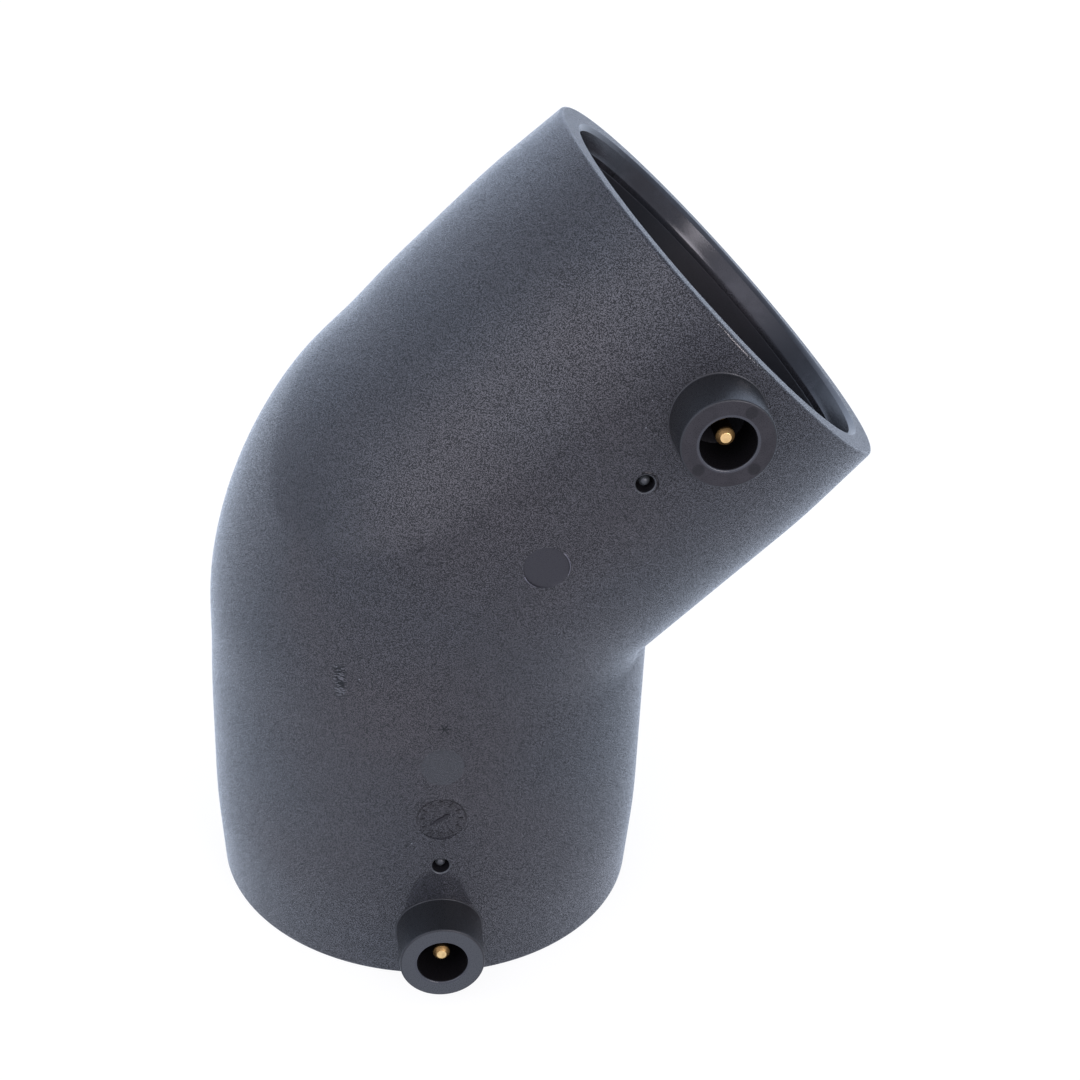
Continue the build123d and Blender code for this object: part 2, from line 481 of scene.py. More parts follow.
def build_body(sizes):
    """The moulding as one closed mesh."""
    shell = Shell()
    rows = leg_rows()
    edge = sizes.mouth_edge
    brow = outer_radius(rows[0])
    ends = []
    for carry, lower in ((Matrix(), True), (mitre_mirror(), False)):
        shell.carry = carry
        grid = add_leg_outside(shell, rows, leg_windows(sizes, lower))
        steps = [(circle(min(radius, brow), along), GRAINED) for radius, along in
                 arc((MOUTH_RADIUS + 0.05 * MM - edge, edge), edge, 0, -90, 6)]
        steps += [(circle(radius, 0), END) for radius in
                  (MOUTH_RADIUS - edge - 0.4 * MM, 50.5 * MM, 48.6 * MM)]
        for radius, along in socket_profile(sizes):
            finish = END if along == 0 else LAND if along < LEAD_IN_END else SOCKET
            steps.append((circle(radius, along), finish))
        ends.append((grid[-1], shell.bands(grid[0], steps)))
    shell.carry = Matrix()
    angles = spread(0, BEND_ANGLE, BEND_STEPS)[1:-1]
    sides = ((BODY_RADIUS, GRAINED), (WATERWAY_RADIUS, SOCKET))
    for (radius, finish), first, last in zip(sides, *ends):
        ring = shell.bands(first, [(bend_circle(radius, angle), finish) for angle in angles])
        shell.bridge(ring, last, finish)
    sink_shoulders(shell)
    return shell.mesh("elbow_moulding", 35)


def build_pin(carry):
    """A turned brass pin, from under the well's floor to its bevelled tip."""
    tip = SHROUD_HEIGHT - PIN_RECESS
    bevel_foot, bevel_top = tip - PIN_BEVEL, PIN_RADIUS - PIN_BEVEL
    profile = [(PIN_FOOT_RADIUS, COIL_RADIUS), (PIN_FOOT_RADIUS, PIN_FOOT_TOP),
               (PIN_NECK_RADIUS, PIN_FOOT_TOP), (PIN_NECK_RADIUS, WELL_FLOOR),
               (PIN_RADIUS - 0.1 * MM, WELL_FLOOR + 0.02 * MM), (PIN_RADIUS, WELL_FLOOR + 0.1 * MM)]
    profile += [(PIN_RADIUS, height) for height in
                spread(WELL_FLOOR + 1.0 * MM, bevel_foot - 0.3 * MM, 4)]
    profile += [(PIN_RADIUS - 0.02 * MM, bevel_foot - 0.05 * MM),
                (PIN_RADIUS - 0.1 * MM, bevel_foot + 0.06 * MM),
                (bevel_top + 0.1 * MM, tip - 0.1 * MM), (bevel_top, tip - 0.02 * MM)]
    profile += [(radius, tip) for radius in
                (bevel_top - 0.06 * MM, PIN_RADIUS * 0.5, PIN_RADIUS * 0.2)]
    turns = [2 * math.pi * j / PIN_SIDES for j in range(PIN_SIDES)]
    steps = [([(radius * math.cos(a), -height, SHROUD_FROM_MOUTH + radius * math.sin(a))
               for a in turns], BRIGHT if height == tip else SHADED_SIDE)
             for radius, height in profile]
    shell = Shell(carry)
    foot = shell.ring(steps[0][0])
    shell.cap(foot, (0, -COIL_RADIUS, SHROUD_FROM_MOUTH), SHADED_SIDE)
    shell.cap(shell.bands(foot, steps[1:]), (0, -tip, SHROUD_FROM_MOUTH), BRIGHT)
    return shell.mesh("terminal_pin", 30)


def build_dial_arrow():
    """The dial's raised arrow, pointing up to the right, with bevelled edges."""
    outline = [(-3.2, -0.14), (-1.9, -0.18), (-1.8, -0.4), (1.3, -0.4), (1.2, -0.7), (2.3, 0.0),
               (1.2, 0.7), (1.3, 0.4), (-1.8, 0.4), (-1.9, 0.18), (-3.2, 0.14)]
    low, high = flat_height(DIAL_RADIUS) - 0.05 * MM, flat_height(DIAL_RADIUS) + 0.2 * MM
    c, s = math.cos(math.radians(33)), math.sin(math.radians(33))
    bm = bmesh.new()
    face = bm.faces.new([
        bm.verts.new(((x * c - z * s) * MM, -high, DIAL_FROM_MOUTH + (x * s + z * c) * MM))
        for x, z in outline])
    sides = bmesh.ops.extrude_face_region(bm, geom=[face])
    pushed = [v for v in sides["geom"] if isinstance(v, bmesh.types.BMVert)]
    bmesh.ops.translate(bm, vec=(0, high - low, 0), verts=pushed)
    rim = [e for e in bm.edges if all(abs(v.co.y + high) < 1e-6 for v in e.verts)]
    bmesh.ops.bevel(bm, geom=rim, offset=0.05 * MM, segments=2, affect="EDGES")
    bmesh.ops.recalc_face_normals(bm, faces=bm.faces)
    return mesh_of(bm, "dial_arrow")


# Node helpers

def new_tree(name, tree_type, inputs, outputs):
    """A tree with inputs (name, kind, default) and outputs (name, kind), and their sockets."""
    tree = bpy.data.node_groups.new(name, tree_type)
    for socket, kind, *value in inputs:
        made = tree.interface.new_socket(
            name=socket, in_out="INPUT", socket_type=f"NodeSocket{kind}")
        if value:
            made.default_value = value[0]
    for socket, kind in outputs:
        tree.interface.new_socket(name=socket, in_out="OUTPUT", socket_type=f"NodeSocket{kind}")
    return (tree, tree.nodes.new("NodeGroupInput").outputs,
            tree.nodes.new("NodeGroupOutput").inputs)


def add_node(tree, kind, sockets=None, **settings):
    """Adds a node; sockets maps an input to a value or to another node's output."""
    node = tree.nodes.new(kind)
    for name, value in settings.items():
        setattr(node, name, value)
    for name, value in (sockets or {}).items():
        if isinstance(value, bpy.types.NodeSocket):
            tree.links.new(value, node.inputs[name])
        else:
            node.inputs[name].default_value = value
    return node


def output(tree, kind, sockets=None, **settings):
    """The first output of a new node."""
    return add_node(tree, kind, sockets, **settings).outputs[0]


def link_to(tree, sockets, sources):
    """Links sources, given by name, to sockets."""
    for name, source in sources.items():
        tree.links.new(source, sockets[name])


# Pieces from Geometry Nodes

def geometry_tree(name, inputs):
    return new_tree(name, "GeometryNodeTree", inputs, [("Geometry", "Geometry")])


def moved(tree, geometry, **sockets):
    """The geometry after a Transform node."""
    sockets["Geometry"] = geometry
    return output(tree, "GeometryNodeTransform", sockets)


def joined(tree, *parts):
    join = add_node(tree, "GeometryNodeJoinGeometry")
    for part in parts:
        tree.links.new(part, join.inputs[0])
    return join.outputs[0]


def finish_tree(tree, geometry, material, outside):
    """Realize Instances and Set Material end every tree."""
    real = output(tree, "GeometryNodeRealizeInstances", {"Geometry": geometry})
    painted = output(tree, "GeometryNodeSetMaterial", {"Geometry": real, "Material": material})
    link_to(tree, outside, {"Geometry": painted})


def mesh_from_tree(name, tree, values):
    """Runs a tree on an empty object and returns the plain mesh that it makes."""
    maker = add_object(name, bpy.data.meshes.new(name))
    modifier = maker.modifiers.new("build", "NODES")
    modifier.node_group = tree
    for item in tree.interface.items_tree:
        if item.in_out == "INPUT":
            modifier[item.identifier] = values[item.name]
    graph = bpy.context.evaluated_depsgraph_get()
    mesh = bpy.data.meshes.new_from_object(maker.evaluated_get(graph))
    mesh.name = name
    bpy.data.objects.remove(maker)
    return mesh


def dial_marks_tree(material):
    """A ring of small bars: the date dial's plain ticks, lying on the dial's flat."""
    tree, given, outside = geometry_tree("dial_ticks", [
        ("Count", "Int"), ("Ring Radius", "Float"), ("Bar Size", "Vector"), ("Place", "Vector")])
    ring = output(tree, "GeometryNodeMeshCircle", {
        "Vertices": given["Count"], "Radius": given["Ring Radius"]})
    bar = output(tree, "GeometryNodeMeshCube", {"Size": given["Bar Size"]})
    turn = output(tree, "FunctionNodeAlignRotationToVector", {
        "Vector": output(tree, "GeometryNodeInputPosition")}, axis="X")
    bars = output(tree, "GeometryNodeInstanceOnPoints", {
        "Points": ring, "Instance": bar, "Rotation": turn})
    stood = moved(tree, bars, Translation=given["Place"], Rotation=(math.radians(90), 0, 0))
    finish_tree(tree, stood, material, outside)
    return tree


def heating_wire_tree(material):
    """One wire: lead, coil and riser in each socket, and the run over the bend."""
    tree, given, outside = geometry_tree("heating_wire_path", [
        ("Wire Radius", "Float"), ("Coil Radius", "Float"), ("Turns", "Float"), ("Rise", "Float")])
    reach = given["Coil Radius"]
    back = maths(tree, "MULTIPLY", reach, -1.0)
    spiral = output(tree, "GeometryNodeCurveSpiral", {
        "Resolution": 72, "Rotations": given["Turns"], "Start Radius": reach,
        "End Radius": reach, "Height": given["Rise"], "Reverse": True})
    parts = [moved(tree, spiral, Translation=(0, 0, COIL_START),
                   Rotation=(0, 0, math.radians(-90)))]
    for axis, low, high in (("Y", SHROUD_FROM_MOUTH, COIL_START), ("X", COIL_END, STRAIGHT_LENGTH)):
        ends = [output(tree, "ShaderNodeCombineXYZ", {axis: back, "Z": z}) for z in (low, high)]
        parts.append(output(tree, "GeometryNodeCurvePrimitiveLine", {
            "Start": ends[0], "End": ends[1]}))
    leg = joined(tree, *parts)
    half = BEND_ANGLE / 2
    level_leg = moved(tree, moved(tree, leg, Translation=(0, 0, -LEG_LENGTH)),
                      Rotation=(0, -half, 0))
    mirrored = moved(tree, level_leg, Translation=(0, 0, LEG_LENGTH), Rotation=(0, half, 0),
                     Scale=(1, 1, -1))
    over = output(tree, "GeometryNodeCurveArc", {
        "Resolution": 33, "Radius": maths(tree, "ADD", reach, BEND_RADIUS),
        "Start Angle": math.radians(180), "Sweep Angle": -BEND_ANGLE})
    run = moved(tree, over, Translation=(BEND_RADIUS, 0, STRAIGHT_LENGTH),
                Rotation=(math.radians(90), 0, 0))
    lines = output(tree, "GeometryNodeCurveToMesh", {"Curve": joined(tree, leg, mirrored, run)})
    welded = output(tree, "GeometryNodeMergeByDistance", {
        "Geometry": lines, "Distance": 0.02 * MM})
    path = output(tree, "GeometryNodeMeshToCurve", {"Mesh": welded})
    section = output(tree, "GeometryNodeCurvePrimitiveCircle", {
        "Resolution": 12, "Radius": given["Wire Radius"]})
    wire = output(tree, "GeometryNodeCurveToMesh", {
        "Curve": path, "Profile Curve": section, "Fill Caps": True})
    finish_tree(tree, wire, material, outside)
    return tree


# Steps that the materials share

def object_coords(tree):
    return add_node(tree, "ShaderNodeTexCoord").outputs["Object"]


def axes_of(tree, vector):
    return add_node(tree, "ShaderNodeSeparateXYZ", {0: vector}).outputs


def noise(tree, vector, scale, detail=2.0, rough=0.5):
    return add_node(tree, "ShaderNodeTexNoise", {
        "Vector": vector, "Scale": scale, "Detail": detail, "Roughness": rough}).outputs["Fac"]


def ramp(tree, value, low, high, out_low=0.0, out_high=1.0):
    """Carries low to out_low and high to out_high, and goes no further."""
    return add_node(tree, "ShaderNodeMapRange", {
        "Value": value, "From Min": low, "From Max": high,
        "To Min": out_low, "To Max": out_high}).outputs["Result"]


def maths(tree, operation, first, second=0.0):
    return output(tree, "ShaderNodeMath", {0: first, 1: second}, operation=operation)


def product(tree, *factors):
    """The product of two or more values."""
    total = factors[0]
    for factor in factors[1:]:
        total = maths(tree, "MULTIPLY", total, factor)
    return total


def dot(tree, vector, direction):
    return add_node(tree, "ShaderNodeVectorMath", {0: vector, 1: direction},
                    operation="DOT_PRODUCT").outputs["Value"]


def scaled(tree, vector, factor):
    """A vector or a colour times a factor."""
    return output(tree, "ShaderNodeVectorMath", {0: vector, "Scale": factor}, operation="SCALE")


def mix_colour(tree, factor, first, second):
    """Mixes two colours, each of them three numbers or another node's output."""
    ends = {6: first, 7: second}
    for socket, colour in ends.items():
        if not isinstance(colour, bpy.types.NodeSocket):
            ends[socket] = (*colour, 1)
    return add_node(tree, "ShaderNodeMix", {"Factor": factor, **ends}, data_type="RGBA").outputs[2]


def near(tree, coordinate, centre, half, soft):
    """1 within half of a centre, falling to 0 over a soft margin."""
    off = maths(tree, "ABSOLUTE", maths(tree, "SUBTRACT", coordinate, centre))
    return ramp(tree, off, half, half + soft, 1.0, 0.0)


def place_group(tree, group, **values):
    """Places a shared group with its own values, and returns its outputs."""
    return add_node(tree, "ShaderNodeGroup", values, node_tree=group).outputs


# Shared groups

def shader_group(name, inputs, outputs):
    return new_tree(name, "ShaderNodeTree", inputs, outputs)


def spark_grain_group():
    """Fine spark-eroded mould grain: a normal and the height it comes from."""
    tree, given, outside = shader_group(
        "spark_eroded_grain", [("Scale", "Float", 1.0), ("Depth", "Float", 1.0)],
        [("Normal", "Vector"), ("Height", "Float")])
    place = scaled(tree, object_coords(tree), given["Scale"])
    cells = add_node(tree, "ShaderNodeTexVoronoi", feature="SMOOTH_F1", sockets={
        "Vector": place, "Scale": 1700.0, "Smoothness": 0.35})
    height = maths(tree, "SUBTRACT", noise(tree, place, 1350.0, 3.0, 0.62),
                   product(tree, cells.outputs["Distance"], 0.6))
    bump = add_node(tree, "ShaderNodeBump", {
        "Distance": 0.0022, "Strength": given["Depth"], "Height": height})
    link_to(tree, outside, {"Normal": bump.outputs["Normal"], "Height": height})
    return tree


def handling_marks_group():
    """Nicks: a scuff of short dark pits and a star of thin rays. Dust: sparse pale specks."""
    tree, _, outside = shader_group("handling_marks", [], [("Nicks", "Float"), ("Dust", "Float")])
    coords = object_coords(tree)
    x, y, z = axes_of(tree, coords)
    front = ramp(tree, y, -30.0 * MM, -29.0 * MM, 1.0, 0.0)

    squeezed = output(tree, "ShaderNodeVectorMath", {0: coords, 1: (0.8, 0.8, 3.0)},
                      operation="MULTIPLY")
    pits = noise(tree, squeezed, 1150.0, 1.0)
    scuffed = product(tree, near(tree, x, -23.2 * MM, 0.8 * MM, 0.9 * MM),
                      near(tree, z, 84.2 * MM, 3.0 * MM, 2.0 * MM))
    scuff = product(tree, scuffed, ramp(tree, pits, 0.475, 0.49))
    torn = product(tree, scuffed, ramp(tree, pits, 0.45, 0.43, 0.0, 0.25))

    across = maths(tree, "SUBTRACT", x, 0.3 * MM)
    along = maths(tree, "SUBTRACT", z, 74.1 * MM)
    turn = maths(tree, "ARCTAN2", along, across)
    reach = maths(tree, "SQRT", maths(tree, "ADD", product(tree, across, across),
                                      product(tree, along, along)))
    between = maths(tree, "ABSOLUTE", maths(tree, "SINE", product(tree, turn, 3.0)))
    off_ray = product(tree, between, reach)
    star = product(tree, ramp(tree, off_ray, 0.3 * MM, 0.5 * MM, 1.0, 0.0),
                   ramp(tree, reach, 1.3 * MM, 1.8 * MM, 1.0, 0.0))

    specks = add_node(tree, "ShaderNodeTexVoronoi", {"Scale": 130.0, "Vector": coords})
    dust = ramp(tree, specks.outputs["Distance"], 0.016, 0.026, 0.7, 0.0)
    link_to(tree, outside, {
        "Nicks": product(tree, maths(tree, "MAXIMUM", scuff, star), front),
        "Dust": maths(tree, "MAXIMUM", dust, product(tree, torn, front))})
    return tree


def flow_marks_group():
    """Bands: wavy, round a socket's lead-in. Seam: a thin line across the upper one."""
    tree, _, outside = shader_group("flow_marks", [], [("Bands", "Float"), ("Seam", "Float")])
    coords = object_coords(tree)
    patches = noise(tree, coords, 60.0, 1.0)
    waves = noise(tree, coords, 420.0)
    bands = product(tree, ramp(tree, waves, 0.35, 0.65), ramp(tree, patches, 0.4, 0.6))
    across = dot(tree, coords, (-0.6215, -0.475, 0.6215))
    at_back = ramp(tree, axes_of(tree, coords)["Y"], 30.0 * MM, 31.0 * MM)
    seam = product(tree, near(tree, across, 58.55 * MM, 0.12 * MM, 0.12 * MM), at_back)
    link_to(tree, outside, {"Bands": bands, "Seam": seam})
    return tree


def tone_drift_group():
    """Slow change between two tones, as between cooler and warmer patches of a moulding."""
    tree, given, outside = shader_group(
        "moulding_tone_drift", [("Cool", "Color"), ("Warm", "Color"), ("Scale", "Float", 20.0)],
        [("Color", "Color")])
    drift = noise(tree, object_coords(tree), given["Scale"], 1.0)
    mix = mix_colour(tree, ramp(tree, drift, 0.35, 0.65), given["Cool"], given["Warm"])
    link_to(tree, outside, {"Color": mix})
    return tree


def shared_groups():
    """The groups that several materials use, each built once."""
    makers = {
        "spark_eroded_grain": spark_grain_group,
        "moulding_tone_drift": tone_drift_group,
        "handling_marks": handling_marks_group,
        "flow_marks": flow_marks_group,
    }
    return {name: bpy.data.node_groups.get(name) or make() for name, make in makers.items()}


# Materials

def shader_of(tree):
    return tree.nodes["Principled BSDF"].inputs


def new_material(name, **values):
    """A material and its tree; values set the shader's sockets, named in lower case."""
    material = bpy.data.materials.new(name)
    material.use_nodes = True
    for socket in shader_of(material.node_tree):
        key = socket.name.lower().replace(" ", "_")
        if key in values:
            socket.default_value = values[key]
    return material, material.node_tree


def feed(tree, sources):
    """Links sources, given by name, to the shader's sockets."""
    link_to(tree, shader_of(tree), sources)


def fed_by(tree, socket):
    """What now feeds one of the shader's sockets."""
    return shader_of(tree)[socket].links[0].from_socket


def multiply_base(tree, factor):
    feed(tree, {"Base Color": scaled(tree, fed_by(tree, "Base Color"), factor)})


def polyethylene(name, groups, tones, roughness, grain_depth, gloss, specular):
    """Moulded black polyethylene: drifting tones, mould grain and a thin gloss over both."""
    material, tree = new_material(
        name, roughness=roughness, specular_ior_level=specular, coat_roughness=0.12,
        coat_ior=1.52, specular_tint=(0.9, 0.93, 1.0, 1))
    drift = place_group(tree, groups["moulding_tone_drift"],
                        Cool=(*tones[0], 1), Warm=(*tones[-1], 1), Scale=26.0)
    grain = place_group(tree, groups["spark_eroded_grain"], Scale=2.4, Depth=grain_depth)
    height = grain["Height"]
    hills = ramp(tree, height, 0.12, 0.5, 1.0 - 0.85 * grain_depth, 1.0 + 1.15 * grain_depth)
    rough = ramp(tree, height, 0.0, 0.45, roughness + 0.14, roughness - 0.14)
    feed(tree, {"Base Color": scaled(tree, drift["Color"], hills), "Normal": grain["Normal"],
                "Roughness": rough})
    if gloss:
        shine = ramp(tree, height, 0.1, 0.34, gloss * (1 - 0.85 * grain_depth), gloss)
        feed(tree, {"Coat Weight": shine})
    return material


def add_handling_marks(material, groups):
    """Darkens a scuff and a star-shaped nick, and dusts the surface with pale specks."""
    tree = material.node_tree
    marks = place_group(tree, groups["handling_marks"])
    keep = ramp(tree, marks["Nicks"], 0.0, 1.0, 1.0, 0.0)
    multiply_base(tree, keep)
    feed(tree, {
        "Coat Weight": product(tree, fed_by(tree, "Coat Weight"), keep),
        "Base Color": mix_colour(tree, marks["Dust"], fed_by(tree, "Base Color"), DUST_COLOUR)})


def add_insert_patches(material):
    """Mottles the upper shroud's face and darkens three spots where mould inserts met it."""
    tree = material.node_tree
    coords = object_coords(tree)
    mottle = ramp(tree, noise(tree, coords, 420.0, 3.0, 0.6), 0.3, 0.7, 0.75, 1.3)
    for x, z in ((50.7, 144.9), (62.3, 144.9), (60.6, 157.8)):
        off = add_node(tree, "ShaderNodeVectorMath", operation="DISTANCE", sockets={
            0: coords, 1: (x * MM, -SHROUD_HEIGHT, z * MM)})
        spot = ramp(tree, off.outputs["Value"], 1.2 * MM, 1.5 * MM, 0.3, 1.0)
        mottle = product(tree, mottle, spot)
    multiply_base(tree, mottle)


def add_flow_marks(material, groups):
    """Faint bands and a seam round the lead-in, where the melt front chilled."""
    tree = material.node_tree
    flow = place_group(tree, groups["flow_marks"])
    multiply_base(tree, ramp(tree, flow["Bands"], 0.0, 1.0, 0.8, 1.6))
    multiply_base(tree, ramp(tree, flow["Seam"], 0.0, 1.0, 1.0, 0.1))
    feed(tree, {"Roughness": ramp(tree, flow["Bands"], 0.0, 1.0, 0.21, 0.16)})


def add_tarnish_and_painted_shade(material):
    """Darkens a pin's side below its tip, down in the well: tarnish, and painted shade."""
    tree = material.node_tree
    y = axes_of(tree, object_coords(tree))["Y"]
    multiply_base(tree, ramp(tree, y, -61.9 * MM, -61.0 * MM, 1.0, 0.1))


def metal(name, colour, base_roughness, grain, patches, roughness):
    """Bare metal that a noise (its scale and detail) darkens in patches (its range, a share)."""
    material, tree = new_material(
        name, roughness=base_roughness, specular_ior_level=0.5, metallic=1.0)
    pattern = noise(tree, object_coords(tree), *grain)
    low, high, share = patches
    mix = mix_colour(tree, ramp(tree, pattern, low, high), colour, [c * share for c in colour])
    feed(tree, {"Base Color": mix, "Roughness": ramp(tree, pattern, 0.3, 0.7, *roughness)})
    return material


def brass(name, colour, low, high):
    """Turned brass with patches of duller metal, its roughness between low and high."""
    return metal(name, colour, low, (900.0, 2.0), (0.4, 0.75, 0.72), (low, high))


def white_surround_material(name, shadow):
    """Pale floor that shows white to the camera and keeps a soft shadow."""
    material, tree = new_material(
        name, roughness=0.9, specular_ior_level=0.0, base_color=(0.8, 0.8, 0.8, 1))
    rays = add_node(tree, "ShaderNodeLightPath").outputs
    seen = maths(tree, "MAXIMUM", rays["Is Camera Ray"], maths(
        tree, "MAXIMUM", rays["Is Glossy Ray"], rays["Is Transmission Ray"]))
    x, y, _ = axes_of(tree, object_coords(tree))
    mirrored = mix_colour(tree, ramp(tree, y, -0.16, 0.0), FLOOR_FRONT_TINT, FLOOR_BACK_TINT)
    fade = product(tree, ramp(tree, x, -0.05, 0.2, 1.06, 0.74), ramp(tree, y, 0.0, 0.25, 1.0, 1.3))
    tint = mix_colour(tree, rays["Is Camera Ray"], scaled(tree, mirrored, fade), WHITE)
    glow = output(tree, "ShaderNodeEmission", {"Color": tint, "Strength": 1.0 - shadow})
    film = output(tree, "ShaderNodeBsdfDiffuse", {"Color": (*[shadow * 1.3] * 3, 1)})
    both = output(tree, "ShaderNodeAddShader", {0: glow, 1: film})
    plain = tree.nodes["Principled BSDF"].outputs[0]
    mix = output(tree, "ShaderNodeMixShader", {"Fac": seen, 1: plain, 2: both})
    link_to(tree, tree.nodes["Material Output"].inputs, {"Surface": mix})
    return material


# Stage

def studio_world():
    """Soft surround, brighter behind and from the front left, and white to the camera."""
    world = bpy.data.worlds.new("studio_white")
    world.use_nodes = True
    tree = world.node_tree
    around = add_node(tree, "ShaderNodeTexCoord").outputs["Generated"]
    _, y, z = axes_of(tree, around)
    behind = ramp(tree, y, 0.45, 0.95, 0.0, 0.65)
    above = ramp(tree, z, 0.1, 0.5, 0.55, 1.1)
    overhead = ramp(tree, z, 0.6, 0.95, 0.0, -0.45)
    lobe = ramp(tree, dot(tree, around, (-0.62, -0.72, 0.31)), 0.5, 1.0, 0.0, 1.28)
    tent = maths(tree, "ADD", maths(tree, "ADD", behind, product(tree, lobe, lobe)),
                 maths(tree, "ADD", above, overhead))
    seen = add_node(tree, "ShaderNodeLightPath").outputs["Is Camera Ray"]
    strength = output(tree, "ShaderNodeMix", {"Factor": seen, 2: tent, 3: 1.0})
    tint = mix_colour(tree, ramp(tree, y, -0.6, 0.4), WORLD_FRONT_TINT, WORLD_BACK_TINT)
    background = tree.nodes["Background"].inputs
    link_to(tree, background, {"Strength": strength, "Color": mix_colour(tree, seen, tint, WHITE)})
    return world


def add_softbox(name, place, target, size, power, tint):
    """A square area light at place that looks at target."""
    light = bpy.data.lights.new(name, "AREA")
    light.shape = "SQUARE"
    light.size = size
    light.energy = power
    light.color = tint
    made = add_object(name, light)
    made.location = place
    made.rotation_euler = (Vector(target) - Vector(place)).to_track_quat("-Z", "Y").to_euler()


def add_camera(scene):
    """The photograph's view: distance, direction, tilt, lens and framing."""
    azimuth, elevation, roll = (math.radians(a) for a in (-3.7802, 28.3939, 0.6936))
    target = Vector((-0.0062, 0.3381, 1.7256)) * BODY_RADIUS
    distance = 8.7948 * BODY_RADIUS
    back = Vector((math.sin(azimuth) * math.cos(elevation),
                   -math.cos(azimuth) * math.cos(elevation), math.sin(elevation)))
    right = (-back).cross(Vector((0, 0, 1))).normalized()
    up = right.cross(-back)
    across = right * math.cos(roll) + up * math.sin(roll)
    above = up * math.cos(roll) - right * math.sin(roll)
    data = bpy.data.cameras.new("camera")
    data.sensor_width = 36.0
    data.lens = 63.132
    data.shift_x = 0.10808
    data.shift_y = -0.04212
    data.clip_start = 0.01
    camera = add_object("camera", data)
    turned = Matrix((across, above, back)).transposed().to_4x4()
    camera.matrix_world = Matrix.Translation(target + back * distance) @ turned
    scene.camera = camera


# Add-on classes

def length(name, description, default, low, high):
    """A length property, its numbers given in millimetres."""
    return bpy.props.FloatProperty(
        name=name, description=description, default=default * MM, min=low * MM, max=high * MM,
        unit="LENGTH", precision=5)


def colour(name, description, default):
    return bpy.props.FloatVectorProperty(
        name=name, description=description, subtype="COLOR", size=3, min=0, max=1,
        default=default)


class ElbowSizes(bpy.types.PropertyGroup):
    """Sizes of the edges and marks that the moulding shows."""

    mouth_edge: length("Mouth outer edge", "Rounding of the outer edge of each mouth", 0.8, 0.1, 2)
    mouth_inner_edge: length(
        "Mouth inner edge", "Rounding where the lead-in starts", 0.25, 0.05, 1)
    shroud_edge: length("Shroud rim", "Rounding of the shroud's outer rim", 0.4, 0.1, 1)
    shroud_root: length("Shroud root", "Fillet between the shroud and the body", 0.35, 0.05, 0.7)
    well_edge: length("Well rim", "Rounding of the well's rim", 0.35, 0.1, 1)
    indicator_edge: length(
        "Indicator rim", "Rounding of the fusion indicator's rim", 0.28, 0.05, 0.8)
    wire_diameter: length("Wire diameter", "Diameter of the round heating wire", 0.9, 0.3, 1.2)
    wire_turns: bpy.props.FloatProperty(
        name="Coil turns",
        description="Turns of heating wire in each socket, a whole number and three quarters",
        default=4.75, min=0.75, max=19.75)
    dial_ticks: bpy.props.IntProperty(
        name="Dial ticks", description="Ticks round the date dial", default=12, min=3, max=36)


class ElbowColours(bpy.types.PropertyGroup):
    """Colours of the elbow's finishes."""

    body_cool: colour(
        "Body, cool", "Cooler tone of the moulded polyethylene", (0.049, 0.054, 0.067))
    body_warm: colour(
        "Body, warm", "Warmer tone of the moulded polyethylene", (0.062, 0.057, 0.065))
    brass: colour("Brass", "Colour of the terminal pins", (0.86, 0.60, 0.27))
    wire: colour("Wire", "Colour of the heating wire", (0.55, 0.50, 0.45))


def add_piece(name, mesh, materials, slot, *nodes):
    """Links a finished mesh as a piece of the elbow that stands for CAD nodes."""
    piece = add_object(name, mesh)
    for material in materials:
        mesh.materials.append(material)
    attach(piece, "root")
    if nodes:
        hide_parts(*nodes)


def tinted(tone, *shares):
    """A tone times one share, or a share for each of red, green and blue."""
    return [c * s for c, s in zip(tone, shares if len(shares) == 3 else shares * 3)]


class ELBOW_OT_body(bpy.types.Operator):
    """Build the moulded body with its sockets, shrouds, indicators and insert marks"""

    bl_idname = "elbow.body"
    bl_label = "Moulded body"

    def execute(self, context):
        colours, groups = context.scene.elbow_colours, shared_groups()
        tones = cool, warm = tuple(colours.body_cool), tuple(colours.body_warm)
        both = [a + b for a, b in zip(cool, warm)]
        dark = [tinted(tone, 0.27, 0.27, 0.24) for tone in tones]
        # A fifth of the body's tones: painted shade for the lead-in, the bores, the waterway and
        # the indicator wells.
        painted_shade = [tinted(tone, 0.2) for tone in tones]
        # Tones, roughness, grain depth, gloss and specular of each finish, in slot order
        looks = {
            "grained": (tones, 0.36, 1.0, 1.0, 0.5),
            "smooth": (dark, 0.34, 0.04, 0.0, 0.4),
            "socket": (painted_shade, 0.42, 0.1, 0.0, 0.3),
            "faint": ([tinted(both, 0.225, 0.25, 0.235)], 0.36, 0.4, 0.2, 0.4),
            "lead_in": (painted_shade, 0.2, 0.03, 0.0, 0.5),
            "pale": ([tinted(both, 0.3, 0.33, 0.3)], 0.3, 0.04, 0.0, 0.5),
            "end": (tones, 0.4, 0.8, 0.5, 0.3),
            "worn": ([tinted(warm, 0.21)], 0.34, 0.04, 0.0, 0.4),
            "rubbed": ([tinted(both, 0.15)], 0.34, 0.12, 0.0, 0.4),
            # The flash finish's light tone is a painted glint on the raised edge, with whitened
            # plastic.
            "flash": ([tinted(both, 0.9)], 0.34, 0.2, 0.0, 0.4),
            # The well finish's very dark tone is painted shade down the shroud's well.
            "well": ([tinted(warm, 0.1)], 0.45, 0.1, 0.0, 0.12),
            "rim": ([tinted(cool, 0.4)], 0.3, 0.1, 0.5, 0.4),
        }
        materials = [polyethylene(f"polyethylene_{name}", groups, *look)
                     for name, look in looks.items()]
        add_handling_marks(materials[GRAINED], groups)
        add_flow_marks(materials[LAND], groups)
        add_insert_patches(materials[WORN])
        add_piece("elbow_moulding", build_body(context.scene.elbow_sizes), materials,
                  "moulded_polyethylene", "elbow_body")
        return {"FINISHED"}


